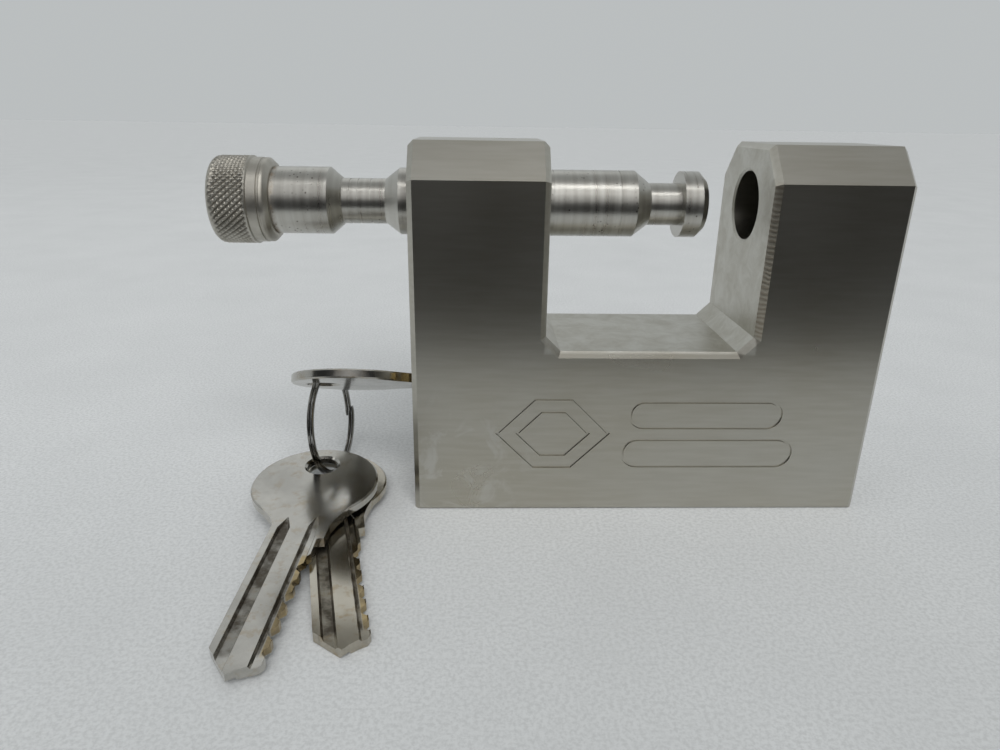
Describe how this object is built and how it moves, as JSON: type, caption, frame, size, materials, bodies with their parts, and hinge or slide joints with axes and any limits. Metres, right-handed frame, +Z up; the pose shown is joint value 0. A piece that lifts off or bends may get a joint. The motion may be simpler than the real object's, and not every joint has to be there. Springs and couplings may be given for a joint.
{
  "type": "hitch pin lock",
  "caption": "Keyed hitch pin lock: U-shaped steel block whose knurled sliding pin bridges the slot, with a key in the side and spare keys on a split ring.",
  "frame": {"origin": "centre of the block's flat bottom face", "axes": "+X along the block and the pin, towards the blind leg; +Y from the engraved front face to the back; +Z up through the legs"},
  "size_m": [0.1291, 0.078, 0.072],
  "materials": {
    "brushed_block": "fine brushed stainless with machining marks and light staining",
    "turned_pin": "turned and polished, lightly pitted",
    "knurled_knob": "diamond knurl and satin collar",
    "nickel_key": "nickel plate over brass, cuts bare",
    "ring_wire": "dark polished spring wire",
    "cylinder_brass": "machined",
    "hardened_steel": "ground",
    "spring_wire": "drawn wire",
    "black_screw": "black oxide"
  },
  "bodies": {
    "lock": {"lock_body": "brushed_block", "cylinder_housing": "cylinder_brass", "chamber_cover": "cylinder_brass", "cylinder_screw": "black_screw", "driver_pin_1": "hardened_steel", "driver_pin_2": "hardened_steel", "driver_pin_3": "hardened_steel", "driver_pin_4": "hardened_steel", "driver_pin_5": "hardened_steel", "driver_pin_6": "hardened_steel", "pin_spring_1": "spring_wire", "pin_spring_2": "spring_wire", "pin_spring_3": "spring_wire", "pin_spring_4": "spring_wire", "pin_spring_5": "spring_wire", "pin_spring_6": "spring_wire", "deadbolt_spring": "spring_wire", "base_plug": "black_screw", "detent_ball": "hardened_steel", "detent_spring": "spring_wire", "detent_screw": "black_screw"},
    "pin": {"locking_pin": "turned_pin", "pin_knob": "knurled_knob", "knob_screw": "black_screw"},
    "plug": {"cylinder_plug": "cylinder_brass", "plug_clip": "spring_wire", "key_pin_1": "cylinder_brass", "key_pin_2": "cylinder_brass", "key_pin_3": "cylinder_brass", "key_pin_4": "cylinder_brass", "key_pin_5": "cylinder_brass", "key_pin_6": "cylinder_brass", "tailpiece": "spring_wire", "cam": "black_screw", "cam_roll_pin": "spring_wire"},
    "deadbolt": {"deadbolt": "hardened_steel"},
    "key": {"inserted_key": "nickel_key"},
    "ring": {"key_ring": "ring_wire"},
    "spare_upper": {"spare_key_upper": "nickel_key"},
    "spare_lower": {"spare_key_lower": "nickel_key"}
  },
  "joints": [
    {"name": "pin_slide", "type": "slide", "parent": "lock", "child": "pin", "axis": [1, 0, 0], "range_m": [-0.0323, 0.026]},
    {"name": "plug_turn", "type": "hinge", "parent": "lock", "child": "plug", "pos_m": [-0.025, 0, 0.0227], "axis": [1, 0, 0], "range_deg": [-63, 0]},
    {"name": "bolt_lift", "type": "slide", "parent": "lock", "child": "deadbolt", "axis": [0, 0, 1], "range_m": [0, 0.0024], "deforming": ["deadbolt_spring"]},
    {"name": "key_slide", "type": "slide", "parent": "plug", "child": "key", "axis": [-1, 0, 0], "range_m": [0, 0.032]},
    {"name": "ring_swing", "type": "hinge", "parent": "key", "child": "ring", "pos_m": [-0.0658, 0, 0.0227], "axis": [1, 0, 0], "range_deg": [0, 63]},
    {"name": "spare_upper_fan", "type": "hinge", "parent": "ring", "child": "spare_upper", "pos_m": [-0.06547, -0.0083, 0.00585], "axis": [-0.0033, -0.0749, 0.9972], "range_deg": [-24, 0]},
    {"name": "spare_lower_fan", "type": "hinge", "parent": "ring", "child": "spare_lower", "pos_m": [-0.0661, -0.00418, 0.00294], "axis": [0.0089, -0.0355, 0.9993], "range_deg": [0, 18]}
  ],
  "couplings": [
    {"joint": "bolt_lift", "follows": "plug_turn", "m_per_rad": -0.0021827},
    {"joint": "ring_swing", "follows": "plug_turn", "ratio": -1}
  ]
}
